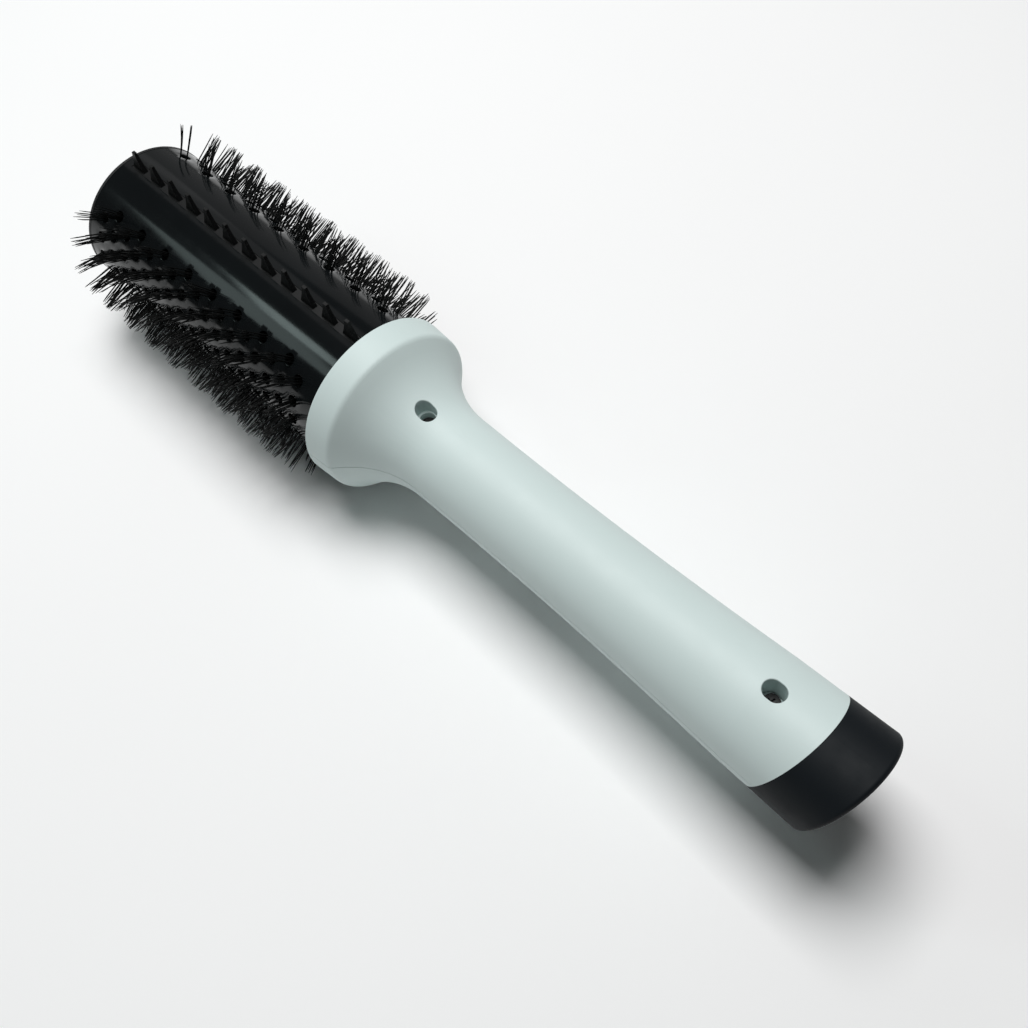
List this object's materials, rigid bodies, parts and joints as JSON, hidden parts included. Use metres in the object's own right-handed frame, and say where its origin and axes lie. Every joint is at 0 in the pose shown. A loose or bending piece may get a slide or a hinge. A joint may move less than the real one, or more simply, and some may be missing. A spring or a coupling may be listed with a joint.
{
  "type": "hot air brush",
  "caption": "Round hot air brush: black perforated barrel with bristle tufts and comb rows, flared white handle, slanted black tail cap with cord gland, slide switch and cool-shot button.",
  "frame": {"origin": "on the brush's long axis, in the bore of the swivel cord gland, where the slanted tail face crosses the axis", "axes": "+X along the axis from the tail to the tip, +Z to the back of the brush where the shell screws are; the controls face -Z"},
  "size_m": [0.317, 0.0724, 0.0636],
  "materials": {
    "barrel_black": "semi-gloss black coating",
    "tip_plastic": "fine matt",
    "bristle_nylon": "nylon filament, slightly glossy",
    "comb_plastic": "moulded, semi-gloss",
    "carrier_plastic": "moulded",
    "socket_plastic": "heat-resistant moulding",
    "mica": "pressed mica sheet",
    "heater_wire": "drawn wire",
    "plated_steel": "zinc plated",
    "handle_white": "satin soft white with a faint cool green tint",
    "screw_steel": "zinc plated",
    "cap_black": "fine matt",
    "screen_steel": "etched mesh",
    "gland_black": "matt",
    "inner_plastic": "moulded",
    "motor_steel": "drawn can",
    "magnet": "sintered ferrite",
    "fan_plastic": "moulded",
    "board_green": "lacquered board",
    "part_black": "moulded",
    "knob_black": "fine matt",
    "button_grey": "satin",
    "lead_red": "silicone insulation",
    "lead_white": "glass-braid sleeve"
  },
  "bodies": {
    "brush": {"barrel_tube": "barrel_black", "tip_cap": "tip_plastic", "bristle_strips_left": "bristle_nylon", "bristle_strips_right": "bristle_nylon", "comb_strip_back": "comb_plastic", "comb_strip_front": "comb_plastic", "bristle_carrier": "carrier_plastic", "barrel_socket": "socket_plastic", "mica_frame": "mica", "heater_coil": "heater_wire", "mica_sleeve": "mica", "thermostat": "plated_steel", "thermal_fuse": "plated_steel", "shell_back": "handle_white", "shell_front": "handle_white", "shell_screws": "screw_steel", "tail_cap": "cap_black", "inlet_screen": "screen_steel", "motor_holder": "inner_plastic", "motor_can": "motor_steel", "motor_end_cap": "inner_plastic", "motor_magnets": "magnet", "rectifier_board": "board_green", "diodes": "part_black", "control_board": "board_green", "terminal_block": "part_black", "switch_body": "part_black", "cool_switch": "part_black", "motor_leads": "lead_red", "heater_leads": "lead_white"},
    "fan": {"motor_rotor": "motor_steel", "motor_shaft": "screw_steel", "impeller": "fan_plastic"},
    "gland": {"cord_gland": "gland_black", "gland_circlip": "plated_steel"},
    "knob": {"slide_knob": "knob_black"},
    "button": {"cool_button": "button_grey", "cool_switch_plunger": "button_grey"}
  },
  "joints": [
    {"name": "fan_spin", "type": "hinge", "parent": "brush", "child": "fan", "pos_m": [0.06, 0, 0], "axis": [1, 0, 0], "continuous": true},
    {"name": "gland_swivel", "type": "hinge", "parent": "brush", "child": "gland", "pos_m": [0, 0, 0], "axis": [-1, 0, 0], "continuous": true},
    {"name": "switch_slide", "type": "slide", "parent": "brush", "child": "knob", "axis": [1, 0, 0], "range_m": [-0.0035, 0.0035]},
    {"name": "cool_shot_press", "type": "slide", "parent": "brush", "child": "button", "axis": [0, 0, 1], "range_m": [0, 0.001], "stiffness_N_per_m": 400, "springref_m": -0.001}
  ]
}
